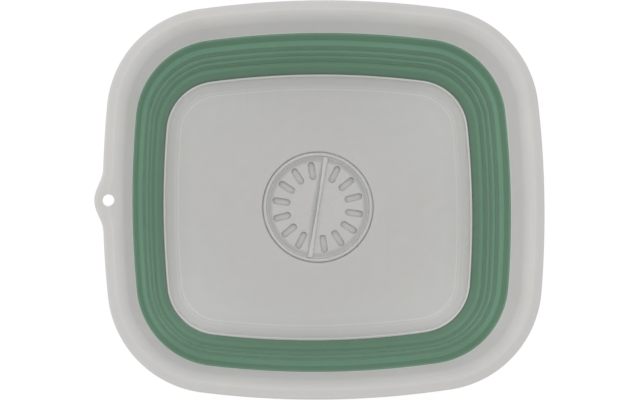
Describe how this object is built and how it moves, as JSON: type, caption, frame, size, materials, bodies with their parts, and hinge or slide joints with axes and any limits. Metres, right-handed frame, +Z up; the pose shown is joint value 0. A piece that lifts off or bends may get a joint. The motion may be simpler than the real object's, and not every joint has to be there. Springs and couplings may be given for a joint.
{
  "type": "collapsible wash basin",
  "caption": "Collapsible wash basin with a stiff rim, a folding rubber wall, a stiff raised base, a hanging hole and a lift-out drain strainer.",
  "frame": {"origin": "bottom centre of the whole outline, ear included, on the surface that the feet stand on; the basin's own axis lies 3.65 mm to +X of it", "axes": "+X along the length, away from the ear with the hanging hole; +Y across the width; +Z up, out of the basin's mouth"},
  "size_m": [0.3878, 0.3444, 0.14],
  "materials": {
    "grey_plastic": "satin moulded polypropylene, light warm grey",
    "green_rubber": "matt thermoplastic rubber, muted green",
    "grey_rubber": "matt soft rubber, grey"
  },
  "bodies": {
    "base": {"base_pan": "grey_plastic", "base_lap": "green_rubber", "lower_web": "green_rubber", "foot_pad_1": "grey_rubber", "foot_pad_2": "grey_rubber", "foot_pad_3": "grey_rubber", "foot_pad_4": "grey_rubber"},
    "lower_ring": {"lower_band": "green_rubber", "middle_web": "green_rubber"},
    "upper_ring": {"upper_band": "green_rubber", "upper_web": "green_rubber"},
    "rim": {"rim_frame": "grey_plastic", "rim_lap": "green_rubber"},
    "strainer": {"drain_strainer": "grey_plastic", "drain_stopper": "grey_rubber"}
  },
  "joints": [
    {"name": "fold_lower", "type": "slide", "parent": "base", "child": "lower_ring", "axis": [0, 0, -1], "range_m": [0, 0.0325], "deforming": ["lower_web"]},
    {"name": "fold_middle", "type": "slide", "parent": "lower_ring", "child": "upper_ring", "axis": [0, 0, -1], "range_m": [0, 0.0295], "deforming": ["middle_web"]},
    {"name": "fold_upper", "type": "slide", "parent": "upper_ring", "child": "rim", "axis": [0, 0, -1], "range_m": [0, 0.0315], "deforming": ["upper_web"]},
    {"name": "strainer_lift", "type": "slide", "parent": "base", "child": "strainer", "axis": [0, 0, 1], "range_m": [0, 0.15]}
  ]
}
